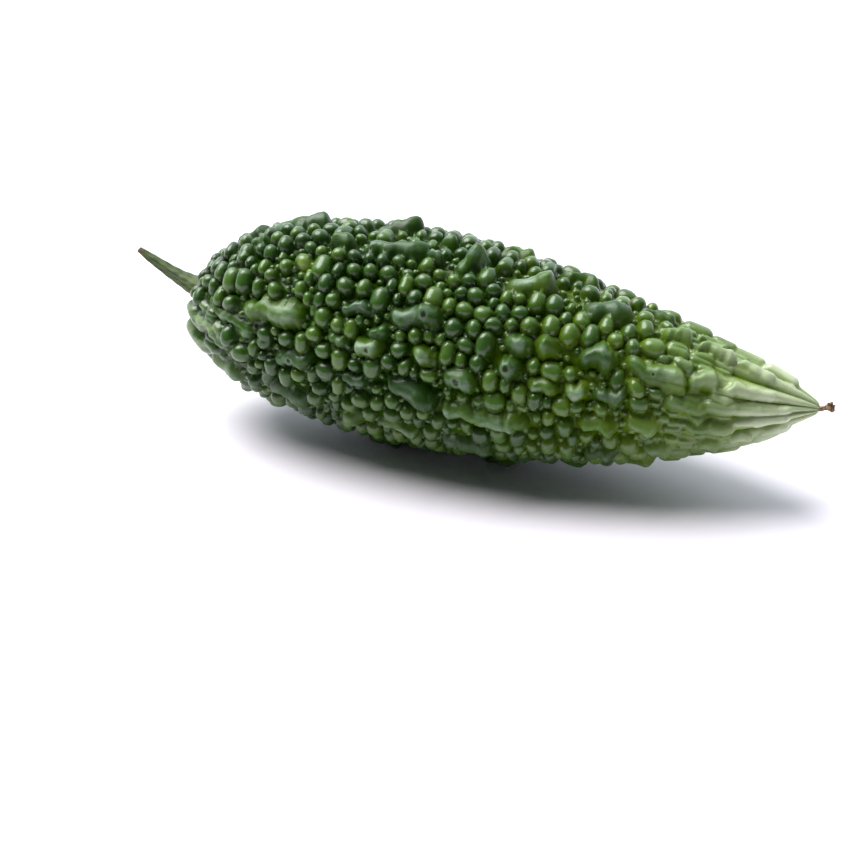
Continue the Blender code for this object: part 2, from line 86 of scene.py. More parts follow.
# each crest: start, length, angle, turn, width, low end, high end
crests = {
    "seen": (
        (12, 10, -8, -2, 7.0, 3.6, 4.4),
        (25, 17, -11, -3, 8.0, 3.8, 6.0),
        (58, 13, -11, -8, 6.5, 2.6, 6.4),
        (80, 5, -7, 0, 4.6, 4.0, 4.6),
        (98, 9, -17, -5, 5.6, 4.0, 4.8),
        (118, 10, -12, -5, 6.0, 3.6, 4.6),
        (143, 10, -6, -6, 5.6, 3.4, 3.8),
        (161, 8, -6, -4, 4.6, 2.4, 2.6),
        (21, 6, 12, 0, 4.6, 2.6, 3.2),
        (49, 7, 13, 0, 6.4, 4.6, 4.6),
        (60, 18, 12, -3, 7.2, 3.4, 5.2),
        (79, 5, 11, 0, 4.4, 4.4, 4.6),
        (88, 8, 13, -9, 8.4, 2.6, 7.4),
        (105, 13, 14, -5, 8.4, 2.8, 6.2),
        (129, 11, 14, -3, 8.2, 3.6, 5.4),
        (151, 8, 15, -5, 6.0, 3.6, 4.0),
        (162, 10, 12, -4, 5.4, 2.6, 2.8),
        (174, 10, 9, 2, 4.4, 1.4, 1.2),
        (60, 8, 54, -2, 4.6, 3.6, 3.8),
        (75, 13, 53, -4, 8.0, 3.0, 6.2),
        (109, 7, 53, 0, 6.8, 3.4, 4.8),
        (119, 4, 51, 0, 8.0, 5.4, 5.6),
        (131, 9, 51, -2, 8.4, 4.6, 5.6),
        (145, 15, 51, 4, 6.8, 3.8, 4.6),
        (162, 7, 52, -3, 5.6, 2.8, 3.2),
        (174, 12, 49, 3, 5.2, 1.6, 1.0),
        (12, 18, 69, 15, 4.6, 1.6, 2.6),
        (27, 19, 65, -1, 8.0, 3.4, 4.6),
        (57, 6, 72, 0, 4.6, 3.4, 3.6),
        (66, 7, 73, -1, 6.6, 4.0, 4.6),
        (69, 6, 64, 0, 4.8, 3.8, 4.2),
        (84, 5, 71, 0, 6.4, 4.2, 4.6),
        (94, 8, 79, 1, 7.4, 4.4, 5.2),
        (109, 5, 68, 0, 7.2, 4.8, 5.0),
        (118, 8, 75, 1, 5.4, 3.6, 4.2),
        (129, 5, 75, 0, 5.8, 4.2, 4.4),
        (137, 8, 75, -1, 5.8, 3.8, 4.4),
        (157, 11, 74, 6, 5.6, 2.8, 3.0),
        (168, 7, 57, 2, 5.0, 2.2, 2.2),
        (9, 15, 89, 13, 4.2, 1.4, 2.2),
        (39, 12, 92, -3, 6.6, 3.4, 4.4),
        (62, 8, 93, -1, 4.8, 3.6, 3.8),
        (77, 13, 89, 6, 8.0, 4.0, 5.6),
        (94, 23, 99, 2, 7.2, 3.4, 5.6),
        (134, 9, 97, 1, 6.4, 4.2, 4.8),
        (147, 8, 93, 4, 7.2, 4.0, 4.2),
        (163, 13, 97, 7, 5.4, 2.4, 2.4),
        (135, 8, 126, 2, 6.0, 3.8, 4.4),
        (152, 7, 122, 6, 6.2, 3.4, 3.8),
        (166, 6, 124, 6, 5.0, 2.2, 2.4),
        (175, 6, 120, 6, 4.2, 1.4, 1.4),
    ),
    "resting": (
        (63, 11, 165, 0, 8.4, 5.6, 5.8),
        (64, 11, 195, 0, 8.4, 5.6, 5.8),
        (99, 11, 166, 0, 8.4, 6.7, 6.4),
        (98, 11, 194, 0, 8.4, 6.0, 5.8),
    ),
    "inset": 0.30,
    "ridgeWidths": (0.40, 0.58),
    "ridge": 0.84,
    "ridgeDome": 0.9,
    "knobStep": 0.70,
    "knobSize": (0.42, 0.56),
    "knobHeight": (0.70, 0.92),
    "knobDome": 0.7,
    "rows": (127, 158, 193, 229, 264, 301),
    "start": 12.0,
    "end": 184.0,
    "length": (6.0, 15.0),
    "gap": (3.0, 8.0),
    "width": (5.6, 8.0),
    "height": (3.6, 4.8),
    "clear": 3.0,
}

beads = {
    "count": 820,
    "size": (1.35, 3.4, 2.7),  # least, most and commonest radius
    "stretch": (-0.45, 0.35),
    "start": 3.0,
    "end": 186.0,
    "near": 1.0,
    "nearCrest": 0.70,
    "rounds": 60,
    "step": 0.5,
    "crowded": 0.82,
    "least": 1.0,
    "tall": 1.5,
    "tallest": 4.0,
    "dome": (0.6, 1.15),
    "foot": 2.0,  # how far round the egg its foot is, in radians
    "girth": 0.97,
    "bulge": 0.45,
    "longTip": 1.5,
    "longStalk": 1.2,
    "small": ((1.1, 5000), (0.85, 5000)),
    "smallTall": 1.3,
    "smallRoom": 0.35,
}


# Dark pits on the tops of some crests, and a pale scar: station, angle and radius
spots = {
    "pits": (
        (70.5, 73, 1.2),
        (111.5, 68, 1.3),
        (98.0, 80, 1.5),
        (85.5, 50, 1.2),
        (152.0, 54, 0.7),
        (96.0, 8, 1.0),
        (45.0, 91, 1.1),
    ),
    "everyOther": 0.35,
    "deep": 0.55,
    "scar": (45.0, 34, 3.4),
}


def smoothStep(low, high, value):
    share = np.clip((value - low) / (high - low), 0.0, 1.0)
    return share * share * (3.0 - 2.0 * share)


def wrapAngle(angle):
    return (angle + math.pi) % (2.0 * math.pi) - math.pi


def bareRadius(t):
    body = fruit["fullness"] * t ** fruit["stalkRound"] * (1.0 - t) ** fruit["tipTaper"]
    intoCap = np.clip((t - (fruit["tipCut"] - fruit["tipCap"])) / fruit["tipCap"], 0.0, 1.0)
    return body * np.sqrt(1.0 - intoCap**2)


# Rings of points at even steps along the bare skin.
def makeNet(rings, segments):
    dense = fruit["tipCut"] * (1.0 - np.cos(np.linspace(0.0, math.pi, 6000))) / 2.0
    stations, radii = dense * fruit["length"], bareRadius(dense)
    along = np.concatenate([[0.0], np.cumsum(np.hypot(np.diff(stations), np.diff(radii)))])
    even = np.linspace(0.0, along[-1], rings + 1)
    net = {
        "station": np.interp(even, along, stations),
        "radius": np.interp(even, along, radii),
        "along": even,
        "angle": np.arange(segments) * 2.0 * math.pi / segments,
    }
    fields = ("power", "pushDown", "pushRound", "tint", "crown", "crestPower", "crestTint", "crestCrown")
    for name in fields:
        net[name] = np.zeros((rings + 1, segments))
    body, ends = fruit["sharpness"]
    net["sharpness"] = body + (ends - body) * atEnds(net["station"][:, None], net["angle"][None, :])[0]
    return net


# How far each point looks aside when a wart is laid over it, so that no wart is quite round.
def swayNet(net, source):
    girth = net["radius"].max()
    down, roundIt = np.meshgrid(net["along"], net["angle"] * girth, indexing="ij")
    for name in ("swayDown", "swayRound"):
        total = np.zeros_like(down)
        for far, length in fruit["sway"]:
            for _ in range(3):
                turns = round(girth / length * source.uniform(-1.4, 1.4))
                rows = source.uniform(0.5, 1.4) / length * 2.0 * math.pi
                phase = down * rows + roundIt / girth * turns + source.uniform(0.0, 6.3)
                total += far * np.sin(phase) / 1.7
        net[name] = total


def alongAt(net, station):
    return float(np.interp(station, net["station"], net["along"]))


def radiusAt(net, station):
    return float(np.interp(station, net["station"], net["radius"]))


def wartScale(station):
    t = station / fruit["length"]
    return float(0.6 + 0.4 * smoothStep(0.01, 0.14, t)) * float(1.0 - 0.62 * smoothStep(0.70, 0.92, t))


def belowMiddle(angle):
    return smoothStep(-0.45, 0.1, -np.cos(angle))


# How far warts run together, up to 1 at the tip and low on the stalk's shoulder, and how many times
# longer than wide the beads are.
def atEnds(station, angle):
    t = station / fruit["length"]
    byTip = smoothStep(0.70, 0.92, t)
    byStalk = (1.0 - smoothStep(0.02, 0.14, t)) * belowMiddle(angle)
    return np.maximum(byTip, byStalk), 1.0 + beads["longTip"] * byTip + beads["longStalk"] * byStalk


def crestLines(net, chosen):
    start, length, angle, turn, width = np.array([crest[:5] for crest in chosen], float).T
    along = np.interp(start, net["station"], net["along"])
    run = np.interp(start + length, net["station"], net["along"]) - along
    return along, np.radians(angle), run, np.radians(turn), width / 2.0


# The gap to the edge of each crest, and the way from it.
def awayFromCrests(lines, along, angle, radius):
    first, firstAngle, run, turn, halfWidth = lines
    down, roundIt, bend = along - first, wrapAngle(angle - firstAngle) * radius, turn * radius
    share = np.clip((down * run + roundIt * bend) / (run * run + bend * bend), 0.0, 1.0)
    down, roundIt = down - share * run, roundIt - share * bend
    off = np.hypot(down, roundIt) + 1e-6
    return off - halfWidth, down / off, roundIt / off


def crestGap(net, crest, lines):
    gaps = []
    for share in (0.0, 0.5, 1.0):
        station = crest[0] + crest[1] * share
        angle = math.radians(crest[2] + crest[3] * share)
        gaps.append(awayFromCrests(lines, alongAt(net, station), angle, radiusAt(net, station))[0].min())
    return min(gaps) - crest[4] / 2.0


def ruledCrests(source, placed, net):
    made = []
    lines = crestLines(net, placed)
    for row in crests["rows"]:
        station = crests["start"] + source.uniform(0.0, 8.0)
        while station < crests["end"]:
            scale = wartScale(station)
            length = source.uniform(*crests["length"])
            width = source.uniform(*crests["width"]) * (0.55 + 0.45 * scale)
            high = source.uniform(*crests["height"]) * scale
            low = high * source.uniform(0.55, 0.9)
            angle = row + source.uniform(-4.0, 4.0)
            crest = (station, length, angle, source.uniform(-4.0, 4.0), width, low, high)
            if crestGap(net, crest, lines) > crests["clear"]:
                made.append(crest)
            station += length + width * 0.6 + source.uniform(*crests["gap"])
    return made


# Beads at random, closer together where they are small.
def scatterBeads(source, net):
    first, last = alongAt(net, beads["start"]), alongAt(net, beads["end"])
    most = net["radius"].max() * 2.2
    found = []
    while len(found) < beads["count"]:
        along, angle = source.uniform(first, last), source.uniform(-math.pi, math.pi)
        station = float(np.interp(along, net["along"], net["station"]))
        scale = 0.62 + 0.38 * min(1.0, wartScale(station) * 1.15)
        size = source.triangular(*beads["size"]) * scale
        longer = atEnds(station, angle)[1]
        if source.random() * most < radiusAt(net, station) / (scale * scale * longer):
            found.append((along, angle, size, source.uniform(*beads["stretch"])))
    return np.array(found).T


# Lets the beads push each other and keep off the crests, then drops what is still crowded.
def pushApart(found, chosen, net):
    along, angle, size, stretch = found
    lines = crestLines(net, chosen)
    first, last = alongAt(net, beads["start"]), alongAt(net, beads["end"])
    for _ in range(beads["rounds"]):
        station = np.interp(along, net["along"], net["station"])
        local, longer = np.interp(along, net["along"], net["radius"]), atEnds(station, angle)[1]
        down = (along[:, None] - along[None, :]) / longer[:, None]
        roundIt = wrapAngle(angle[:, None] - angle[None, :]) * local[:, None]
        gap = np.hypot(down, roundIt) + 1e-6
        press = np.clip((size[:, None] + size[None, :]) * beads["near"] - gap, 0.0, None) / gap * 0.5
        moveDown, moveRound = (press * down).sum(axis=1) * longer, (press * roundIt).sum(axis=1)
        edge, outDown, outRound = awayFromCrests(lines, along[:, None], angle[:, None], local[:, None])
        press = np.clip(size[:, None] * beads["nearCrest"] - edge, 0.0, None)
        moveDown = moveDown + (press * outDown).sum(axis=1)
        moveRound = moveRound + (press * outRound).sum(axis=1)
        along = np.clip(along + np.clip(moveDown, -beads["step"], beads["step"]), first, last)
        angle = angle + np.clip(moveRound, -beads["step"], beads["step"]) / local
    station = np.interp(along, net["along"], net["station"])
    local, longer = np.interp(along, net["along"], net["radius"]), atEnds(station, angle)[1]
    kept = []
    for i in np.argsort(-size, kind="stable"):
        edge = awayFromCrests(lines, along[i], angle[i], local[i])[0].min()
        room = edge / (beads["nearCrest"] * beads["crowded"])
        if kept:
            down = (along[kept] - along[i]) / longer[i]
            gap = np.hypot(down, wrapAngle(angle[kept] - angle[i]) * local[i])
            room = min(room, (gap / beads["crowded"] - size[kept]).min())
        size[i] = min(size[i], room)
        if size[i] > beads["least"]:
            kept.append(i)
    return [(station[i], angle[i], size[i], stretch[i]) for i in kept]


# Adds one wart along a line on the skin. With bulge it swells out over its foot like an egg.
def stackDome(net, line, halfWidths, heights, bulge=0.0, dome=0.6, tint=0.5, crest=False):
    start, startAngle, end, endAngle = line
    first, last = alongAt(net, start), alongAt(net, end)
    reach = max(halfWidths) * 1.05 + 1.2
    low, high = np.searchsorted(net["along"], (min(first, last) - reach, max(first, last) + reach))
    if high <= low:
        return
    radii = np.maximum(net["radius"][low:high], 0.5)
    run = last - first
    turn = wrapAngle(endAngle - startAngle) * radiusAt(net, (start + end) / 2.0)
    across = np.abs(wrapAngle(net["angle"] - startAngle)) * radii.min()
    columns = np.flatnonzero(across < reach + abs(turn))
    if not len(columns):
        return
    window = np.ix_(np.arange(low, high), columns)
    sway = 1.0 if crest else fruit["beadSway"]
    down = net["along"][low:high, None] - first + sway * net["swayDown"][window]
    roundIt = wrapAngle(net["angle"][None, columns] - startAngle) * radii[:, None]
    roundIt = roundIt + sway * net["swayRound"][window]
    share = np.clip((down * run + roundIt * turn) / max(run * run + turn * turn, 1e-9), 0.0, 1.0)
    offDown, offRound = down - share * run, roundIt - share * turn
    off = np.maximum(np.hypot(offDown, offRound), 1e-6)
    halfWidth = halfWidths[0] + (halfWidths[1] - halfWidths[0]) * share
    height = heights[0] + (heights[1] - heights[0]) * share
    q = np.clip(off / halfWidth, 0.0, 1.0)
    domed = (1.0 - q * q) ** dome
    if crest:
        weight = (height * domed) ** fruit["crestSharpness"]
        net["crestPower"][window] += weight
        net["crestTint"][window] += weight * tint
        net["crestCrown"][window] += weight * domed
        return
    turned = q * beads["foot"]
    egg = (np.cos(turned) - math.cos(beads["foot"])) / (1.0 - math.cos(beads["foot"]))
    domed = domed + (egg - domed) * bulge
    weight = (height * domed) ** net["sharpness"][window]
    push = bulge * (beads["girth"] * halfWidth * np.sin(turned) - off) / off
    net["power"][window] += weight
    net["pushDown"][window] += weight * push * offDown
    net["pushRound"][window] += weight * push * offRound
    net["tint"][window] += weight * tint
    net["crown"][window] += weight * domed


def stackCrest(net, source, marks, crest):
    start, length, angle, turn, width, low, high = crest
    inset = min(width * crests["inset"], length * 0.4)
    first, last = start + inset, start + length - inset
    firstAngle, lastAngle = math.radians(angle), math.radians(angle + turn)
    tint = marks.random()
    widths = (width * crests["ridgeWidths"][0], width * crests["ridgeWidths"][1])
    heights = (low * crests["ridge"], high * crests["ridge"])
    line = (first, firstAngle, last, lastAngle)
    stackDome(net, line, widths, heights, dome=crests["ridgeDome"], tint=tint, crest=True)
    knobs = 1 + max(1, round((last - first) / (width * crests["knobStep"])))
    for i in range(knobs):
        share = i / (knobs - 1)
        size = width * source.uniform(*crests["knobSize"]) * (0.88 + 0.12 * share)
        height = (low + (high - low) * share) * source.uniform(*crests["knobHeight"])
        sway = source.uniform(-0.12, 0.12) * width / radiusAt(net, start)
        station = first + (last - first) * share
        turned = firstAngle + (lastAngle - firstAngle) * share + sway
        line = (station, turned, station, turned)
        stackDome(net, line, (size, size), (height, height), dome=crests["knobDome"], tint=tint, crest=True)


def stackBead(net, marks, bead, tall):
    station, angle, size, stretch = bead
    ends, longer = atEnds(station, angle)
    reach = size * (max(stretch, 0.0) * (1.0 - ends) + 2.0 * (longer - 1.0))
    bend = size * max(-stretch, 0.0) * (1.0 - ends) / radiusAt(net, station)
    high = min(tall * size, beads["tallest"]) * (0.35 + 0.65 * wartScale(station)) * (1.0 - 0.3 * ends)
    line = (station - reach / 2.0, angle - bend, station + reach / 2.0, angle + bend)
    dome = beads["dome"][0] + (beads["dome"][1] - beads["dome"][0]) * ends
    wide = size * (1.0 + 0.2 * ends)
    bulge = beads["bulge"] * (1.0 - ends)
    stackDome(net, line, (wide, wide), (high, high), bulge=bulge, dome=dome, tint=marks.random())


# Little beads in the gaps that the others leave.
def smallBeads(net, marks):
    made = np.zeros((0, 3))
    found = []
    taken = net["warts"]
    first, last = alongAt(net, 16.0), alongAt(net, 165.0)
    segments = len(net["angle"])
    for radius, tries in beads["small"]:
        for _ in range(tries):
            along, angle = marks.uniform(first, last), marks.uniform(0.0, 2.0 * math.pi)
            size = radius * marks.uniform(0.85, 1.15)
            row = int(np.searchsorted(net["along"], along))
            column = int(angle / (2.0 * math.pi) * segments) % segments
            if taken[row, column] > beads["smallRoom"] * size:
                continue
            gaps = np.hypot(made[:, 0] - along, wrapAngle(made[:, 1] - angle) * net["radius"][row])
            if (gaps < made[:, 2] + size).any():
                continue
            made = np.vstack([made, (along, angle, size)])
            station = float(np.interp(along, net["along"], net["station"]))
            found.append((station, angle, size, marks.uniform(-0.1, 0.3)))
    return found


def ribRelief(net):
    rows = np.radians(np.array(ribs["rows"], float))
    knots = np.concatenate([rows, [rows[0] + 2.0 * math.pi]])
    t = net["station"][:, None] / fruit["length"]
    sway = np.radians(4.0) * np.sin(9.0 * t + 1.0)
    angle = (net["angle"][None, :] + sway - rows[0]) % (2.0 * math.pi) + rows[0]
    phase = np.interp(angle, knots, np.arange(len(knots)))
    rounded = np.abs(np.cos(math.pi * phase)) ** 0.7
    byTip = smoothStep(0.70, 0.90, t) * (1.0 - 0.75 * smoothStep(0.90, 1.0, t))
    along = net["along"][:, None]
    reach = ribs["stalkReach"]
    byStalk = smoothStep(reach[0], reach[1], along) * (1.0 - smoothStep(reach[2], reach[3], along))
    byStalk = byStalk * (0.4 + 0.6 * belowMiddle(net["angle"])[None, :])
    height = ribs["height"] * smoothStep(0.03, 0.15, t) * (1.0 - smoothStep(0.75, 0.9, t))
    return rounded * (height + ribs["tipHeight"] * byTip + ribs["stalkHeight"] * byStalk)


def unevenness(net):
    t = net["station"][:, None] / fruit["length"]
    angle = net["angle"][None, :]
    swell = 0.5 * np.sin(2 * angle + 7.0 * t) + 0.4 * np.sin(3 * angle - 11.0 * t + 2.0)
    return swell * smoothStep(0.03, 0.2, t) * (1.0 - smoothStep(0.75, 0.97, t))


# The beads' and the crests' heights as one.
def wartHeights(net):
    power = fruit["sharpness"][0]
    beadHeight = net["power"] ** (1.0 / net["sharpness"])
    crestHeight = net["crestPower"] ** (1.0 / fruit["crestSharpness"])
    net["beadPart"], net["crestPart"] = beadHeight**power, crestHeight**power
    net["warts"] = (net["beadPart"] + net["crestPart"]) ** (1.0 / power)


# The fine net with every wart on it, and how high each of its points stands.
def raiseSkin():
    coarse = makeNet(430, 300)
    source = random.Random(fruit["seed"])
    marks = random.Random(fruit["seed"] + 1)
    chosen = list(crests["seen"]) + list(crests["resting"])
    chosen += ruledCrests(source, chosen, coarse)
    found = pushApart(scatterBeads(source, coarse), chosen, coarse)
    print(len(chosen), "crests and", len(found), "beads")
    net = makeNet(fruit["rings"], fruit["segments"])
    swayNet(net, marks)
    for crest in chosen:
        stackCrest(net, source, marks, crest)
    for bead in found:
        stackBead(net, marks, bead, beads["tall"])
    wartHeights(net)
    little = smallBeads(net, marks)
    for bead in little:
        stackBead(net, marks, bead, beads["smallTall"])
    wartHeights(net)
    print(len(little), "small beads")
    fromEnds = np.minimum(net["along"], net["along"][-1] - net["along"])[:, None]
    seats = smoothStep(0.0, fruit["seatRadius"], fromEnds)
    net["warts"] = net["warts"] * seats * smoothStep(*fruit["stalkSeat"], net["along"])[:, None]
    net["rib"] = ribRelief(net) * seats
    net["relief"] = net["warts"] + net["rib"] + unevenness(net) * seats
    markSpots(net, marks, chosen)
    faint = 0.5 ** fruit["sharpness"][0]
    total = net["beadPart"] + net["crestPart"] + faint
    byBead = net["beadPart"] / np.maximum(net["power"], 1e-12) / total
    byCrest = net["crestPart"] / np.maximum(net["crestPower"], 1e-12) / total
    for name in ("pushDown", "pushRound"):
        net[name] = net[name] * byBead * seats
    net["tint"] = net["tint"] * byBead + net["crestTint"] * byCrest + 0.5 * faint / total
    net["crown"] = net["crown"] * byBead + net["crestCrown"] * byCrest
    net["crest"] = net["crestPart"] / total
    return net


# A soft round spot on the skin, 1 in its middle.
def spotMark(net, station, angle, radius):
    down = net["along"][:, None] - alongAt(net, station)
    roundIt = wrapAngle(net["angle"][None, :] - math.radians(angle)) * radiusAt(net, station)
    return np.exp(-(down**2 + roundIt**2) / radius**2)


# Adds the pits, in the skin and as a mark, and the scar.
def markSpots(net, marks, chosen):
    net["pit"] = np.zeros_like(net["relief"])
    pits = list(spots["pits"])
    for start, length, angle, turn, width, low, high in chosen[len(crests["seen"]):]:
        if marks.random() < spots["everyOther"]:
            pits.append((start + length * 0.75, angle + turn * 0.75, marks.uniform(0.7, 1.2)))
    for station, angle, radius in pits:
        net["pit"] = np.maximum(net["pit"], spotMark(net, station, angle, radius))
    net["relief"] = net["relief"] - spots["deep"] * net["pit"] ** 2
    net["scar"] = spotMark(net, *spots["scar"])


def centreLine(station):
    t = station / fruit["length"]
    sag = fruit["sag"] * smoothStep(0.05, 0.75, t) * (1.0 - smoothStep(0.86, 1.0, t))
    return fruit["lift"] * np.exp(-station / fruit["liftReach"]) - sag


def laidDown(station, height, side):
    beyond = station - fruit["length"] / 2.0
    x = beyond * math.cos(fruit["tilt"]) + height * math.sin(fruit["tilt"])
    z = height * math.cos(fruit["tilt"]) - beyond * math.sin(fruit["tilt"])
    return (np.stack([x, -side, z], axis=-1) + np.array(fruit["moved"])) * 0.001


def skinPoints(net):
    slopeX, slopeR = np.gradient(net["station"]), np.gradient(net["radius"])
    length = np.hypot(slopeX, slopeR)
    slopeX, slopeR = (slopeX / length)[:, None], (slopeR / length)[:, None]
    dimple = fruit["dimple"] * np.exp(-((net["radius"] / fruit["dimpleRadius"]) ** 2))
    dimple = dimple * (net["station"] < 100.0)
    station = (net["station"] + dimple)[:, None] - net["relief"] * slopeR + net["pushDown"] * slopeX
    radius = net["radius"][:, None] + net["relief"] * slopeX + net["pushDown"] * slopeR
    angle = net["angle"][None, :] + net["pushRound"] / np.maximum(net["radius"], 0.5)[:, None]
    over = radius * np.cos(angle)
    height = centreLine(station) + over
    station = station + fruit["slant"] * over * np.exp(-station / fruit["slantReach"])
    return laidDown(station, height, radius * np.sin(angle))


# A grid rolled into a closed skin: points[ring, segment], with one value of each mark per point.
def rolledNet(name, points, marks):
    rings, segments = points.shape[0] - 1, points.shape[1]
    bpy.ops.mesh.primitive_grid_add(x_subdivisions=rings, y_subdivisions=segments, size=2.0)
    obj = bpy.context.object
    obj.name = name
    obj.data.name = name
    flat = readPoints(obj)
    ring = np.rint((flat[:, 0] + 1.0) / 2.0 * rings).astype(int)
    segment = np.rint((flat[:, 1] + 1.0) / 2.0 * segments).astype(int) % segments
    obj.data.vertices.foreach_set("co", points[ring, segment].astype(np.float32).ravel())
    for mark, values in marks.items():
        layer = obj.data.attributes.new(mark, "FLOAT", "POINT")
        values = np.broadcast_to(values, points.shape[:2])
        layer.data.foreach_set("value", values[ring, segment].astype(np.float32).ravel())
    obj.data.update()
    bpy.ops.object.mode_set(mode="EDIT")
    bpy.ops.mesh.select_all(action="SELECT")
    bpy.ops.mesh.remove_doubles(threshold=1e-7)
    bpy.ops.mesh.normals_make_consistent(inside=False)
    bpy.ops.object.mode_set(mode="OBJECT")
    bpy.ops.object.shade_smooth()
    return obj


def readPoints(obj):
    points = np.empty(len(obj.data.vertices) * 3, np.float32)
    obj.data.vertices.foreach_get("co", points)
    return points.reshape(-1, 3).astype(float)


# Presses what stands proud of the solid's box, by a hair, back into it.
def keepInside(obj, node):
    low, high = (np.array(corner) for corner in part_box(node))
    points = np.clip(readPoints(obj), low + 1e-6, high - 1e-6)
    obj.data.vertices.foreach_set("co", points.astype(np.float32).ravel())
    obj.data.update()


def makeBody():
    net = raiseSkin()
    points = skinPoints(net)
    points[0], points[-1] = points[0].mean(axis=0), points[-1].mean(axis=0)
    marks = {name: net[name] for name in ("crown", "tint", "crest", "rib", "pit", "scar")}
    marks["down"] = net["station"][:, None] / fruit["length"]
    obj = rolledNet("gourdSkin", points, marks)
    obj.data.calc_loop_triangles()
    thin = obj.modifiers.new("thin", "DECIMATE")
    thin.ratio = fruit["triangles"] / len(obj.data.loop_triangles)
    bpy.ops.object.modifier_apply(modifier=thin.name)
    keepInside(obj, "gourd_body")
    obj.select_set(False)
    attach(obj, "root")
    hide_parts("gourd_body")
    print("body", len(obj.data.polygons), "faces")
    return obj


# Stalk: flared foot, soft ribs, curving up to a dry cut end
stalk = {
    "reach": 22.8,
    "rise": (0.26, 0.70),
    "radii": ((0.0, 4.2), (0.06, 3.6), (0.15, 3.05), (0.35, 2.35), (0.6, 1.85), (0.85, 1.35), (1.0, 0.8)),
    "ribs": 5,
    "ribDepth": 0.10,
    "gap": 0.75,
    "sunk": 1.0,
    "rings": 150,
    "segments": 60,
}


# Rings round a path, each square to it. reach is one radius for every point.
def sweptPoints(path, reach, turn):
    rings = []
    for i, centre in enumerate(path):
        ahead = path[min(i + 1, len(path) - 1)] - path[max(i - 1, 0)]
        ahead = ahead / np.linalg.norm(ahead)
        side = np.cross(ahead, (0.0, 0.0, 1.0))
        side = side / np.linalg.norm(side)
        over = np.cross(side, ahead)
        out = np.outer(reach[i] * np.cos(turn), side) + np.outer(reach[i] * np.sin(turn), over)
        rings.append(centre + out)
    return np.array(rings)


def makeStalk():
    share = np.linspace(-stalk["sunk"] / stalk["reach"], 1.0, stalk["rings"] + 1)
    far = stalk["reach"] * share
    rise = stalk["rise"]
    climb = rise[0] * far + (rise[1] - rise[0]) * far**2 / (2.0 * stalk["reach"])
    start = np.array(fruit["dimple"] - stalk["gap"])
    seat = laidDown(start, centreLine(start), np.array(0.0))
    path = seat + np.stack([-far, 0.6 * np.sin(3.0 * share), climb], axis=-1) * 0.001
    places, sizes = zip(*stalk["radii"])
    radii = np.interp(share, places, sizes)
    smooth = np.convolve(np.pad(radii, 6, "edge"), np.ones(13) / 13.0, "valid")
    radii = np.where(share > 0.04, smooth, radii)
    turn = np.arange(stalk["segments"]) * 2.0 * math.pi / stalk["segments"]
    ribbed = 1.0 + stalk["ribDepth"] * np.cos(stalk["ribs"] * turn)[None, :]
    lumps = 0.03 * np.sin(11.0 * turn[None, :] + 9.0 * share[:, None])
    lumps = lumps + 0.025 * np.sin(40.0 * share[:, None] + 2.0 * np.sin(turn)[None, :])
    reach = radii[:, None] * (ribbed + lumps) * 0.001
    points = sweptPoints(path, reach, turn)
    points[0], points[-1] = path[0], path[-1]
    marks = {"down": np.clip(share, 0.0, 1.0)[:, None]}
    obj = rolledNet("gourdStalk", points, marks)
    obj.select_set(False)
    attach(obj, "root")
    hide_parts("stalk")
    print("stalk", len(obj.data.polygons), "faces")
    return obj


# Dry flower: a thin neck that opens into crumpled lobes
flower = {
    "length": 3.4,
    "radii": ((0.0, 0.75), (0.3, 0.6), (0.55, 0.85), (0.8, 1.35), (1.0, 1.0)),
    "lobes": 5,
    "curl": 1.7,
    "gap": 0.3,
    "sunk": 0.7,
    "rings": 60,
    "segments": 80,
}


def makeFlower():
    share = np.linspace(-flower["sunk"] / flower["length"], 1.0, flower["rings"] + 1)
    tip = np.array(fruit["length"] * fruit["tipCut"] + flower["gap"])
    start = laidDown(tip, centreLine(tip), np.array(0.0))
    curl = flower["curl"] * np.clip(share, 0.0, 1.0) ** 1.5
    path = start + np.stack([flower["length"] * share, 0.3 * np.sin(4.0 * share), curl], axis=-1) * 0.001
    places, sizes = zip(*flower["radii"])
    radii = np.interp(share, places, sizes)
    turn = np.arange(flower["segments"]) * 2.0 * math.pi / flower["segments"]
    opened = smoothStep(0.4, 1.0, share)[:, None]
    lobes = 1.0 + 0.35 * opened * np.cos(flower["lobes"] * turn[None, :] + 7.8 * share[:, None])
    creases = 0.16 * opened * np.sin(13.0 * turn[None, :] + 20.0 * share[:, None])
    creases = creases + 0.08 * np.sin(8.0 * turn)[None, :]
    reach = radii[:, None] * (lobes + creases) * 0.001
    points = sweptPoints(path, reach, turn)
    points[0], points[-1] = path[0], path[-1] - np.array([0.0009, 0.0, 0.0])
    obj = rolledNet("dryFlower", points, {"down": np.clip(share, 0.0, 1.0)[:, None]})
    obj.select_set(False)
    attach(obj, "root")
    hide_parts("dry_flower")
    print("dry flower", len(obj.data.polygons), "faces")
    return obj


def addNode(tree, kind, **settings):
    node = tree.nodes.new(kind)
    for name, value in settings.items():
        if hasattr(node, name):
            setattr(node, name, value)
        else:
            node.inputs[name].default_value = value
    return node


def addMath(tree, operation, first, second=None, third=None, clamp=False):
    node = addNode(tree, "ShaderNodeMath", operation=operation, use_clamp=clamp)
    for socket, value in zip(node.inputs, (first, second, third)):
        if value is None:
            continue
        if isinstance(value, (int, float)):
            socket.default_value = value
        else:
            tree.links.new(value, socket)
    return node.outputs[0]


def addRange(tree, value, low, high, toLow=0.0, toHigh=1.0):
    node = addNode(tree, "ShaderNodeMapRange", interpolation_type="SMOOTHSTEP")
    tree.links.new(value, node.inputs["Value"])
    names = ("From Min", "From Max", "To Min", "To Max")
    for name, number in zip(names, (low, high, toLow, toHigh)):
        node.inputs[name].default_value = number
    return node.outputs["Result"]


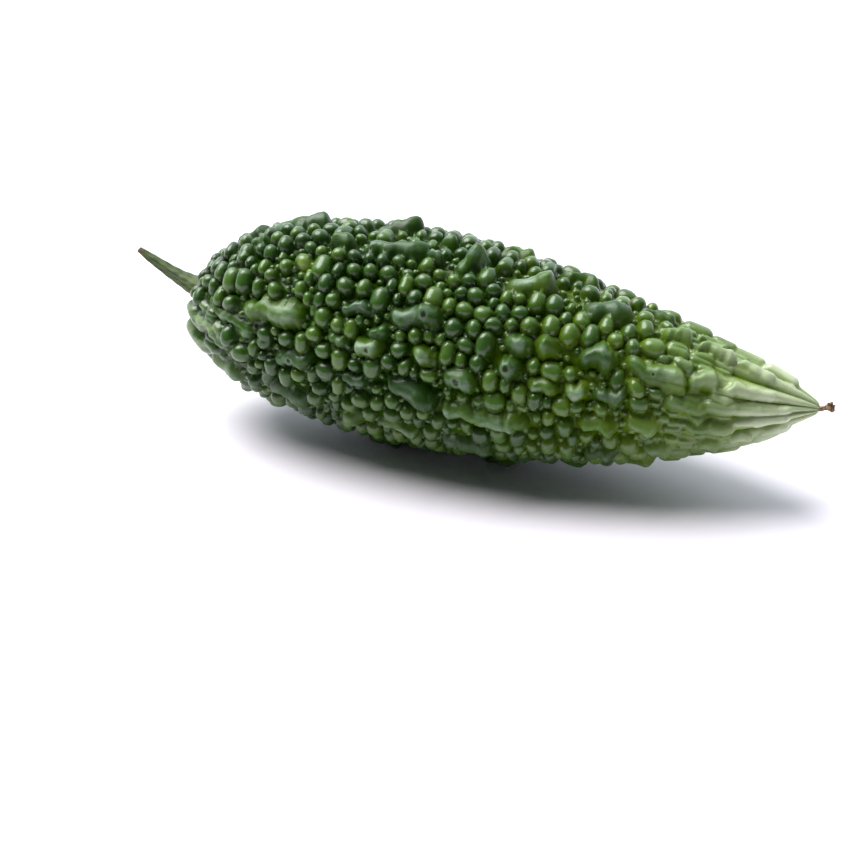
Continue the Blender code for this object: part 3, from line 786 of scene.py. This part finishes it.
def addMix(tree, share, first, second):
    node = addNode(tree, "ShaderNodeMix", data_type="RGBA")
    for socket, value in ((node.inputs[0], share), (node.inputs[6], first), (node.inputs[7], second)):
        if isinstance(value, (int, float)):
            socket.default_value = value
        elif isinstance(value, tuple):
            socket.default_value = (*value, 1.0)
        else:
            tree.links.new(value, socket)
    return node.outputs[2]


def addNoise(tree, vector, scale, detail, stretch=None):
    if stretch:
        mapping = addNode(tree, "ShaderNodeMapping")
        mapping.inputs["Scale"].default_value = stretch
        tree.links.new(vector, mapping.inputs["Vector"])
        vector = mapping.outputs[0]
    noise = addNode(tree, "ShaderNodeTexNoise", Scale=scale, Detail=detail, Roughness=0.55)
    tree.links.new(vector, noise.inputs["Vector"])
    return noise.outputs["Fac"]


def readMark(tree, name):
    return addNode(tree, "ShaderNodeAttribute", attribute_name=name).outputs["Fac"]


# Small irregular spots: a mask that is 1 in a spot.
def makeFreckles():
    group = bpy.data.node_groups.new("freckles", "ShaderNodeTree")
    group.interface.new_socket("Vector", in_out="INPUT", socket_type="NodeSocketVector")
    for name, value in (("Scale", 500.0), ("Size", 0.2), ("Amount", 0.5)):
        socket = group.interface.new_socket(name, in_out="INPUT", socket_type="NodeSocketFloat")
        socket.default_value = value
    group.interface.new_socket("Mask", in_out="OUTPUT", socket_type="NodeSocketFloat")
    given, made = addNode(group, "NodeGroupInput"), addNode(group, "NodeGroupOutput")
    cells = addNode(group, "ShaderNodeTexVoronoi")
    group.links.new(given.outputs["Vector"], cells.inputs["Vector"])
    group.links.new(given.outputs["Scale"], cells.inputs["Scale"])
    spot = addMath(group, "LESS_THAN", cells.outputs["Distance"], given.outputs["Size"])
    picked = addNode(group, "ShaderNodeSeparateColor")
    group.links.new(cells.outputs["Color"], picked.inputs[0])
    chosen = addMath(group, "LESS_THAN", picked.outputs[0], given.outputs["Amount"])
    group.links.new(addMath(group, "MULTIPLY", spot, chosen), made.inputs["Mask"])
    return group


# Fine pores and faint streaks along the fruit, as a height from 0 to 1.
def makeGrain():
    group = bpy.data.node_groups.new("grain", "ShaderNodeTree")
    group.interface.new_socket("Vector", in_out="INPUT", socket_type="NodeSocketVector")
    for name, value in (("Pores", 1500.0), ("Streaks", 900.0), ("Streak Share", 0.5)):
        socket = group.interface.new_socket(name, in_out="INPUT", socket_type="NodeSocketFloat")
        socket.default_value = value
    group.interface.new_socket("Height", in_out="OUTPUT", socket_type="NodeSocketFloat")
    given, made = addNode(group, "NodeGroupInput"), addNode(group, "NodeGroupOutput")
    pores = addNode(group, "ShaderNodeTexNoise", Detail=4.0, Roughness=0.6)
    group.links.new(given.outputs["Vector"], pores.inputs["Vector"])
    group.links.new(given.outputs["Pores"], pores.inputs["Scale"])
    mapping = addNode(group, "ShaderNodeMapping")
    mapping.inputs["Scale"].default_value = (0.16, 1.0, 1.0)
    group.links.new(given.outputs["Vector"], mapping.inputs["Vector"])
    streaks = addNode(group, "ShaderNodeTexNoise", Detail=3.0, Roughness=0.5)
    group.links.new(mapping.outputs[0], streaks.inputs["Vector"])
    group.links.new(given.outputs["Streaks"], streaks.inputs["Scale"])
    mixed = addNode(group, "ShaderNodeMix", data_type="FLOAT")
    group.links.new(given.outputs["Streak Share"], mixed.inputs[0])
    group.links.new(pores.outputs["Fac"], mixed.inputs[2])
    group.links.new(streaks.outputs["Fac"], mixed.inputs[3])
    group.links.new(mixed.outputs[0], made.inputs["Height"])
    return group


def newMaterial(name):
    material = bpy.data.materials.new(name)
    material.use_nodes = True
    tree = material.node_tree
    place = addNode(tree, "ShaderNodeTexCoord").outputs["Object"]
    return material, tree, tree.nodes["Principled BSDF"], place


def useGroup(tree, group, vector, **values):
    node = addNode(tree, "ShaderNodeGroup")
    node.node_tree = group
    tree.links.new(vector, node.inputs["Vector"])
    for name, value in values.items():
        node.inputs[name.replace("_", " ")].default_value = value
    return node.outputs[0]


def addBump(tree, shader, height, strength):
    bump = addNode(tree, "ShaderNodeBump")
    bump.inputs["Strength"].default_value = strength
    bump.inputs["Distance"].default_value = 0.0003
    tree.links.new(height, bump.inputs["Height"])
    tree.links.new(bump.outputs["Normal"], shader.inputs["Normal"])


# Skin colours, from the gaps up to the tops of the warts, and at both ends: the dark gaps are painted
# shade, the pale tops painted light and the pale crest colour a painted sheen. The pairs that follow them
# say over which heights, or shares of the length, one colour goes over into the next.
skin = {
    # the darkest colour, in the gaps, is painted shade; the top colour is painted light on the warts' tops;
    # the crest top colour is a painted sheen
    "paintedShadeCrease": (0.0150, 0.047, 0.0006),
    "flank": (0.0215, 0.063, 0.0010),
    "top": (0.045, 0.112, 0.012),
    "paintedCrestSheen": (0.150, 0.225, 0.145),
    "tipCrease": (0.140, 0.230, 0.010),
    # the tip's top colours are partly its own paleness and partly painted light on what stands higher
    "nearTipTop": (0.195, 0.300, 0.080),
    "tipTop": (0.560, 0.640, 0.420),
    "shoulder": (0.190, 0.275, 0.130),
    "dimple": (0.048, 0.072, 0.020),
    "pit": (0.018, 0.026, 0.006),
    "scar": (0.220, 0.330, 0.060),
    "freckle": (0.060, 0.045, 0.012),
    "overGaps": (0.05, 0.55),
    "overFlanks": (0.70, 1.15),
    "greener": (0.35, 0.85),
    "tip": (0.66, 0.97),
    "paleTip": (0.78, 0.97),
    "end": (0.86, 1.0),
    "stalkEnd": (0.15, 0.03),
    "dimpleEdge": (0.045, 0.012),
    # over which pit marks a pale painted highlight ring lies round each pit
    "pitHighlightRing": (0.34, 0.62),
    "pitMiddle": (0.76, 1.05),
    "roughness": (0.26, 0.38),
    "coat": 0.40,
    "coatRoughness": 0.20,
    "glow": 0.12,
    "glowReach": 0.0015,
}


# Painted shade in the dark gaps, green flanks, painted light on the lighter tops and a painted pale sheen
# on the crests, each wart a little its own
def bodyColour(tree, crown, paler, patches, mottle, sheenAndRopeNoise):
    greener = skin["greener"]
    # Painted shade: the gaps between the warts get the darkest colour
    gaps = addMix(tree, addRange(tree, paler, *greener, 0.0, 0.50), skin["paintedShadeCrease"], skin["tipCrease"])
    flanks = addMix(tree, addRange(tree, paler, *greener, 0.0, 0.36), skin["flank"], skin["tipCrease"])
    colour = addMix(tree, addRange(tree, crown, *skin["overGaps"]), gaps, flanks)
    # Painted light: the highest part of each wart gets the paler top colour
    high = addMath(tree, "MULTIPLY_ADD", mottle, 0.3, crown)
    colour = addMix(tree, addRange(tree, high, *skin["overFlanks"]), colour, skin["top"])
    # Painted sheen: a pale blue-grey patch over the tops of the crests
    paintedSheen = addMath(tree, "MULTIPLY", addRange(tree, sheenAndRopeNoise, 0.42, 0.66), addRange(tree, crown, 0.62, 0.98))
    paintedSheen = addMath(tree, "MULTIPLY", readMark(tree, "crest"), paintedSheen)
    colour = addMix(tree, paintedSheen, colour, skin["paintedCrestSheen"])
    tint = readMark(tree, "tint")
    shade = addMath(tree, "ADD", tint, addMath(tree, "MULTIPLY", patches, 0.8))
    hue = addNode(tree, "ShaderNodeHueSaturation")
    tree.links.new(colour, hue.inputs["Color"])
    tree.links.new(addRange(tree, shade, 0.2, 1.6, 0.62, 1.5), hue.inputs["Value"])
    tree.links.new(addRange(tree, tint, 0.0, 1.0, 0.515, 0.485), hue.inputs["Hue"])
    return hue.outputs["Color"]


# Yellow-green creases and pale tops, paler all over at the very tip; the tops' paleness is partly the tip's
# own colour and partly painted light
def tipColour(tree, crown, rib, down, paler):
    # Partly painted light: what stands higher gets the paler top colour
    standing = addMath(tree, "MULTIPLY", addRange(tree, crown, 0.35, 1.0), 0.65)
    standing = addMath(tree, "ADD", standing, addRange(tree, rib, 0.2, 1.5, 0.0, 0.5))
    atEnd = addRange(tree, down, *skin["end"], 0.0, 0.55)
    standing = addMath(tree, "ADD", standing, atEnd, clamp=True)
    tops = addMix(tree, addRange(tree, paler, *skin["paleTip"]), skin["nearTipTop"], skin["tipTop"])
    return addMix(tree, standing, skin["tipCrease"], tops)


def makeSkin(freckles, grain):
    material, tree, shader, place = newMaterial("waxyGreenSkin")
    crown, down, rib = (readMark(tree, name) for name in ("crown", "down", "rib"))
    patches = addNoise(tree, place, 70.0, 2.0)
    mottle = addNoise(tree, place, 420.0, 4.0)
    sheenAndRopeNoise = addNoise(tree, place, 210.0, 5.0, stretch=(0.55, 1.0, 1.0))
    paler = addMath(tree, "MULTIPLY", addMath(tree, "SUBTRACT", patches, 0.5), 0.22)
    paler = addMath(tree, "ADD", down, paler)
    colour = bodyColour(tree, crown, paler, patches, mottle, sheenAndRopeNoise)
    byTip = addRange(tree, paler, *skin["tip"])
    colour = addMix(tree, byTip, colour, tipColour(tree, crown, rib, down, paler))
    ropes = addRange(tree, addMath(tree, "MULTIPLY", rib, addRange(tree, sheenAndRopeNoise, 0.25, 0.6)), 0.5, 1.5)
    byStalk = addMath(tree, "MULTIPLY", addRange(tree, paler, *skin["stalkEnd"]), ropes)
    colour = addMix(tree, byStalk, colour, skin["shoulder"])
    inDimple = addRange(tree, down, *skin["dimpleEdge"], 0.0, 0.6)
    colour = addMix(tree, inDimple, colour, skin["dimple"])
    flecks = useGroup(tree, freckles, place, Scale=900.0, Size=0.16, Amount=0.16)
    flecks = addMath(tree, "MULTIPLY", flecks, addRange(tree, crown, 0.5, 0.2, 0.0, 0.6))
    colour = addMix(tree, flecks, colour, skin["freckle"])
    scar = addRange(tree, addMath(tree, "MULTIPLY", readMark(tree, "scar"), mottle), 0.15, 0.45)
    colour = addMix(tree, scar, colour, skin["scar"])
    ragged = addMath(tree, "ADD", readMark(tree, "pit"), addMath(tree, "MULTIPLY", mottle, 0.5))
    # Painted highlight: a pale ring round each pit, then the pit's own dark colour
    colour = addMix(tree, addRange(tree, ragged, *skin["pitHighlightRing"], 0.0, 0.50), colour, skin["paintedCrestSheen"])
    colour = addMix(tree, addRange(tree, ragged, *skin["pitMiddle"], 0.0, 0.92), colour, skin["pit"])
    tree.links.new(colour, shader.inputs["Base Color"])
    crest = readMark(tree, "crest")
    rough = addRange(tree, mottle, 0.3, 0.7, *skin["roughness"])
    tree.links.new(addMath(tree, "MULTIPLY_ADD", crest, 0.12, rough), shader.inputs["Roughness"])
    # The gloss lies on what stands out, less on the crests and least in the pits
    gloss = addMath(tree, "MULTIPLY_ADD", rib, 0.5, crown)
    gloss = addMath(tree, "ADD", gloss, addRange(tree, down, 0.92, 1.0, 0.0, 0.6))
    gloss = addRange(tree, gloss, 0.15, 0.75)
    gloss = addMath(tree, "MULTIPLY", gloss, addRange(tree, ragged, 0.75, 1.05, 1.0, 0.3))
    gloss = addMath(tree, "MULTIPLY", gloss, addRange(tree, crest, 0.0, 1.0, 1.0, 0.55))
    tree.links.new(addMath(tree, "MULTIPLY", gloss, skin["coat"]), shader.inputs["Coat Weight"])
    tree.links.new(addMath(tree, "MULTIPLY_ADD", gloss, 0.46, 0.02), shader.inputs["Specular IOR Level"])
    shader.inputs["Subsurface Weight"].default_value = skin["glow"]
    shader.inputs["Subsurface Radius"].default_value = (0.35, 1.0, 0.1)
    shader.inputs["Subsurface Scale"].default_value = skin["glowReach"]
    shader.inputs["Coat Roughness"].default_value = skin["coatRoughness"]
    shader.inputs["IOR"].default_value = 1.45
    pores = useGroup(tree, grain, place, Pores=1700.0, Streaks=800.0, Streak_Share=0.5)
    addBump(tree, shader, pores, 0.35)
    return material


stalkSkin = {
    "light": (0.105, 0.150, 0.040),
    "dark": (0.038, 0.068, 0.016),
    "cut": (0.120, 0.080, 0.035),
    "nearCut": (0.86, 1.0),
    "roughness": (0.5, 0.68),
}


def makeStalkSkin(freckles, grain):
    material, tree, shader, place = newMaterial("stalkSkin")
    down = readMark(tree, "down")
    streaks = addNoise(tree, place, 900.0, 3.0, stretch=(0.12, 1.0, 1.0))
    colour = addMix(tree, addRange(tree, streaks, 0.30, 0.66), stalkSkin["dark"], stalkSkin["light"])
    flecks = useGroup(tree, freckles, place, Scale=1100.0, Size=0.25, Amount=0.3)
    colour = addMix(tree, addMath(tree, "MULTIPLY", flecks, 0.6), colour, stalkSkin["dark"])
    cut = addRange(tree, down, *stalkSkin["nearCut"], 0.0, 0.85)
    colour = addMix(tree, cut, colour, stalkSkin["cut"])
    tree.links.new(colour, shader.inputs["Base Color"])
    tree.links.new(addRange(tree, streaks, 0.3, 0.7, *stalkSkin["roughness"]), shader.inputs["Roughness"])
    pores = useGroup(tree, grain, place, Pores=2200.0, Streaks=1800.0, Streak_Share=0.7)
    addBump(tree, shader, pores, 0.5)
    return material


flowerSkin = {
    "light": (0.420, 0.290, 0.150),
    "dark": (0.110, 0.060, 0.025),
    "fleck": (0.060, 0.035, 0.015),
    "roughness": (0.75, 0.9),
}


def makeFlowerSkin(freckles, grain):
    material, tree, shader, place = newMaterial("dryFlowerSkin")
    patches = addNoise(tree, place, 900.0, 4.0)
    colour = addMix(tree, addRange(tree, patches, 0.35, 0.65), flowerSkin["dark"], flowerSkin["light"])
    flecks = useGroup(tree, freckles, place, Scale=1800.0, Size=0.3, Amount=0.4)
    colour = addMix(tree, addMath(tree, "MULTIPLY", flecks, 0.5), colour, flowerSkin["fleck"])
    tree.links.new(colour, shader.inputs["Base Color"])
    tree.links.new(addRange(tree, patches, 0.3, 0.7, *flowerSkin["roughness"]), shader.inputs["Roughness"])
    pores = useGroup(tree, grain, place, Pores=3000.0, Streaks=2400.0, Streak_Share=0.4)
    addBump(tree, shader, pores, 0.6)
    return material


def dress(obj, material):
    obj.data.materials.clear()
    obj.data.materials.append(material)


# Floor, lights and camera
studio = {
    "azimuth": 20.0,
    "elevation": 29.0,
    "distance": 0.6172,
    "aim": (-0.00974, -0.01210, 0.01173),
    "lens": 85.0,
    "floor": (0.90, 0.85, 0.925),
    "room": (0.84, 0.92, 1.0),
    "roomDim": 0.06,
    "roomBright": 1.5,
    "brightFrom": (-0.30, 0.85, 0.40),
    "sun": 4.6,
    "sunAngle": math.radians(48.0),
    "sunFrom": (-0.45, 0.08, 0.88),
    "sunColour": (1.0, 0.99, 0.97),
}


# Pale surroundings that are bright behind and above the fruit and dim in front of it.
def makeRoom():
    world = bpy.data.worlds.new("paleRoom")
    world.use_nodes = True
    tree = world.node_tree
    background = tree.nodes["Background"]
    background.inputs["Color"].default_value = (*studio["room"], 1.0)
    place = addNode(tree, "ShaderNodeTexCoord").outputs["Generated"]
    towards = addNode(tree, "ShaderNodeVectorMath", operation="DOT_PRODUCT")
    tree.links.new(place, towards.inputs[0])
    towards.inputs[1].default_value = Vector(studio["brightFrom"]).normalized()
    strength = addRange(tree, towards.outputs["Value"], 0.0, 0.9, studio["roomDim"], studio["roomBright"])
    tree.links.new(strength, background.inputs["Strength"])
    return world


def makeStudio():
    scene = bpy.context.scene
    bpy.ops.mesh.primitive_plane_add(size=6.0, location=(0.0, 0.0, 0.0))
    floor = bpy.context.object
    floor.name = "floor"
    floor.select_set(False)
    paint = bpy.data.materials.new("floorPaint")
    paint.use_nodes = True
    shader = paint.node_tree.nodes["Principled BSDF"]
    shader.inputs["Base Color"].default_value = (*studio["floor"], 1.0)
    shader.inputs["Roughness"].default_value = 0.6
    dress(floor, paint)
    scene.world = makeRoom()
    bpy.ops.object.light_add(type="SUN", location=(0.0, 0.0, 1.0))
    sun = bpy.context.object
    sun.name = "overheadLight"
    sun.data.energy = studio["sun"]
    sun.data.angle = studio["sunAngle"]
    sun.data.color = studio["sunColour"]
    sun.rotation_euler = (-Vector(studio["sunFrom"])).to_track_quat("-Z", "Y").to_euler()
    sun.select_set(False)
    azimuth, elevation = math.radians(studio["azimuth"]), math.radians(studio["elevation"])
    level = math.cos(elevation)
    back = Vector((math.sin(azimuth) * level, -math.cos(azimuth) * level, math.sin(elevation)))
    bpy.ops.object.camera_add()
    camera = bpy.context.object
    camera.name = "camera"
    camera.data.lens = studio["lens"]
    camera.data.sensor_width = 36.0
    camera.data.clip_start = 0.01
    camera.location = Vector(studio["aim"]) + back * studio["distance"]
    camera.rotation_euler = (-back).to_track_quat("-Z", "Y").to_euler()
    camera.select_set(False)
    scene.camera = camera
    scene.view_settings.view_transform = "Standard"
    print("studio ready")


freckles, grain = makeFreckles(), makeGrain()
dress(makeBody(), makeSkin(freckles, grain))
dress(makeStalk(), makeStalkSkin(freckles, grain))
dress(makeFlower(), makeFlowerSkin(freckles, grain))
makeStudio()
